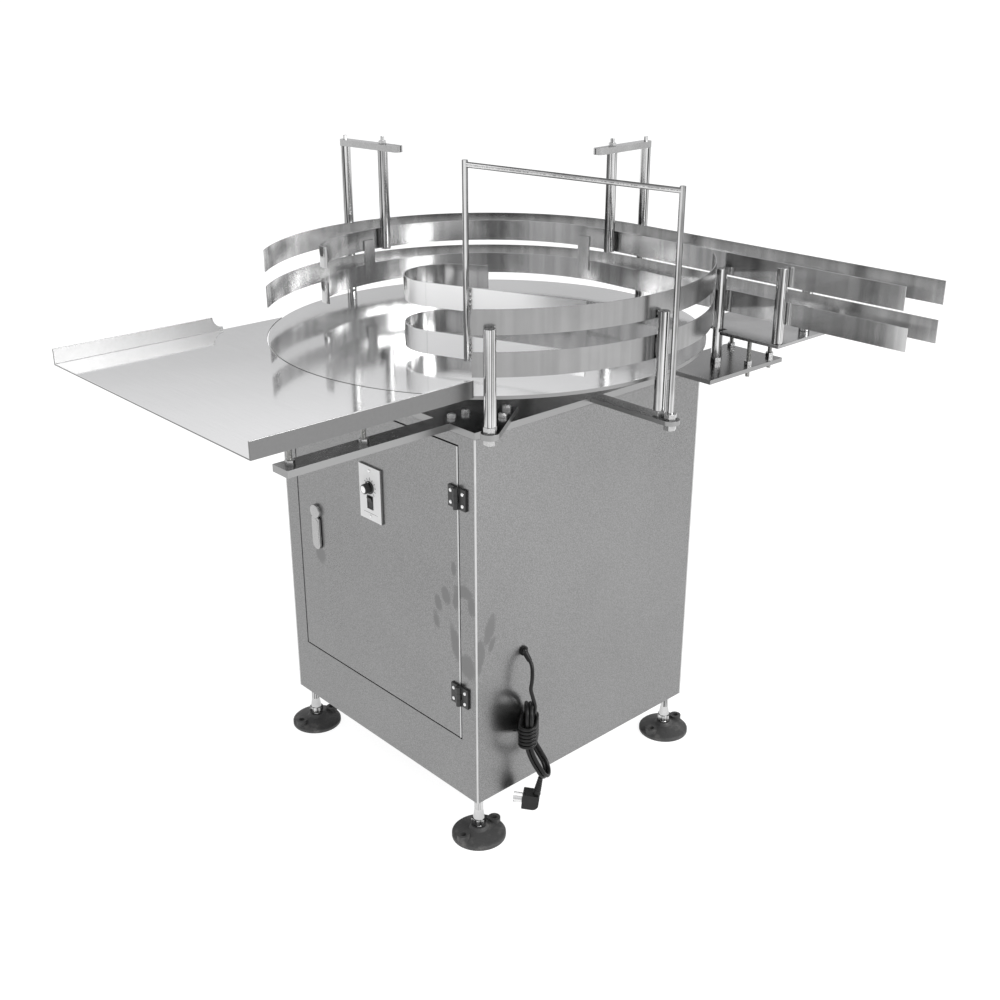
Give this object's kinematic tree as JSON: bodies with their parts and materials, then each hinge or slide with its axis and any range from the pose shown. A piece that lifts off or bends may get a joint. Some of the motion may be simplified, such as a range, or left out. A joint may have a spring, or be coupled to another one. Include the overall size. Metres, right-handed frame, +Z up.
{
  "type": "rotary accumulation table",
  "caption": "Powered turning disc on a cabinet with a door, with an infeed tray, two-tier guide strips round the disc and a guided lane out.",
  "frame": {"origin": "centre of the turning disc's top face", "axes": "+X along the lane out, +Y from the cabinet's door to its back, +Z up"},
  "size_m": [1.1102, 1.14, 1.2],
  "materials": {
    "satin_sheet": "brushed cabinet sheet",
    "frame_tube": "satin square tube",
    "mirror_plate": "polished plate",
    "ground_plate": "smooth plate with light edges",
    "guide_strip": "satin strip",
    "polished_round": "polished round bar",
    "fastener_steel": "bright threaded steel",
    "machined_steel": "machined",
    "housing_iron": "painted casting",
    "gear_head_metal": "cast, satin",
    "motor_paint": "satin paint",
    "hinge_black": "black satin",
    "foot_black": "black moulded",
    "control_face": "light grey moulded",
    "controller_case": "dark moulded",
    "knob_black": "black moulded",
    "switch_black": "black moulded",
    "latch_metal": "satin cast",
    "cord_rubber": "black sheath",
    "plug_black": "black moulded"
  },
  "bodies": {
    "stand": {"front_panel": "satin_sheet", "left_panel": "satin_sheet", "right_panel": "satin_sheet", "back_panel": "satin_sheet", "floor_panel": "satin_sheet", "corner_posts": "frame_tube", "frame_rails": "frame_tube", "tray": "mirror_plate", "transfer_plate": "mirror_plate", "base_plate": "ground_plate", "tray_arms": "ground_plate", "corner_arm": "ground_plate", "post_arms": "ground_plate", "bracket_plate": "ground_plate", "motor_bracket": "ground_plate", "outer_guide_upper": "guide_strip", "outer_guide_lower": "guide_strip", "inner_guide_upper": "guide_strip", "inner_guide_lower": "guide_strip", "front_guide_upper": "guide_strip", "front_guide_lower": "guide_strip", "deflector_upper": "guide_strip", "deflector_lower": "guide_strip", "guide_links": "guide_strip", "front_posts": "polished_round", "lane_post": "polished_round", "exit_posts": "polished_round", "hanger_posts": "polished_round", "hanger_bars": "polished_round", "hanger_rods": "polished_round", "gallows_rod": "polished_round", "base_bolts": "fastener_steel", "foot_stems": "fastener_steel", "foot_nuts": "fastener_steel", "tray_studs": "fastener_steel", "transfer_studs": "fastener_steel", "support_nuts": "fastener_steel", "spindle_bearings": "machined_steel", "bearing_housing": "housing_iron", "gear_head": "gear_head_metal", "drive_motor": "motor_paint", "hinge_frame_leaves": "hinge_black", "foot_pads": "foot_black", "cable_gland": "cord_rubber", "cord": "cord_rubber", "cord_hank": "cord_rubber", "plug": "plug_black"},
    "turntable": {"disc": "mirror_plate", "hub": "machined_steel", "spindle": "machined_steel", "coupling": "machined_steel", "output_shaft": "machined_steel"},
    "door": {"door_panel": "satin_sheet", "hinge_door_leaves": "hinge_black", "controller": "controller_case", "control_plate": "control_face"},
    "latch": {"latch_lever": "latch_metal", "latch_cam": "latch_metal"},
    "knob": {"speed_knob": "knob_black"},
    "rocker": {"rocker_switch": "switch_black"}
  },
  "joints": [
    {"name": "table_spin", "type": "hinge", "parent": "stand", "child": "turntable", "pos_m": [0, 0, 0], "axis": [0, 0, 1], "continuous": true},
    {"name": "door_swing", "type": "hinge", "parent": "stand", "child": "door", "pos_m": [0.23825, -0.2856, -0.374], "axis": [0, 0, 1], "range_deg": [0, 170]},
    {"name": "latch_turn", "type": "hinge", "parent": "door", "child": "latch", "pos_m": [-0.179, -0.28, -0.342], "axis": [0, -1, 0], "range_deg": [0, 90]},
    {"name": "knob_turn", "type": "hinge", "parent": "door", "child": "knob", "pos_m": [0, -0.284, -0.239], "axis": [0, -1, 0], "range_deg": [-140, 140]},
    {"name": "rocker_tip", "type": "hinge", "parent": "door", "child": "rocker", "pos_m": [0, -0.282, -0.268], "axis": [1, 0, 0], "range_deg": [-16, 0]}
  ]
}
